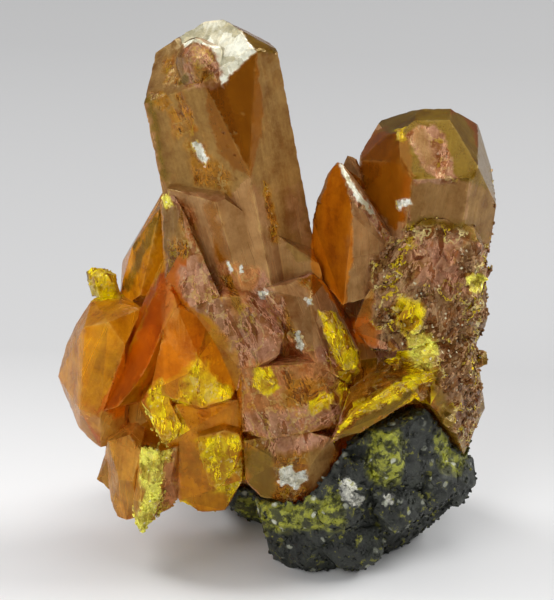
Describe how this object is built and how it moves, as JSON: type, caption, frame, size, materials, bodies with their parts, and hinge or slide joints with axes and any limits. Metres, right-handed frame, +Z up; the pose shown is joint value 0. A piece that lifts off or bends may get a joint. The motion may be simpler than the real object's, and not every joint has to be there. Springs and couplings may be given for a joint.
{
  "type": "mineral specimen",
  "caption": "Cluster of intergrown translucent orange orpiment crystals on a small dark rock that is sawn flat underneath, so that it stands on a shelf.",
  "frame": {"origin": "centre of the specimen's bounding box in plan, at the sawn underside of the rock", "axes": "+Z up, +Y away from the side that is shown, +X to the right seen from that side"},
  "size_m": [0.0374, 0.025, 0.0466],
  "materials": {
    "orpiment": "translucent orange-brown crystal with resinous, partly frosted faces and yellow patches",
    "dark_rock": "rough dark grey-green rock with yellow-green crusts"
  },
  "bodies": {
    "root": {"orpiment_crystals": "orpiment", "rock_matrix": "dark_rock"}
  },
  "joints": []
}
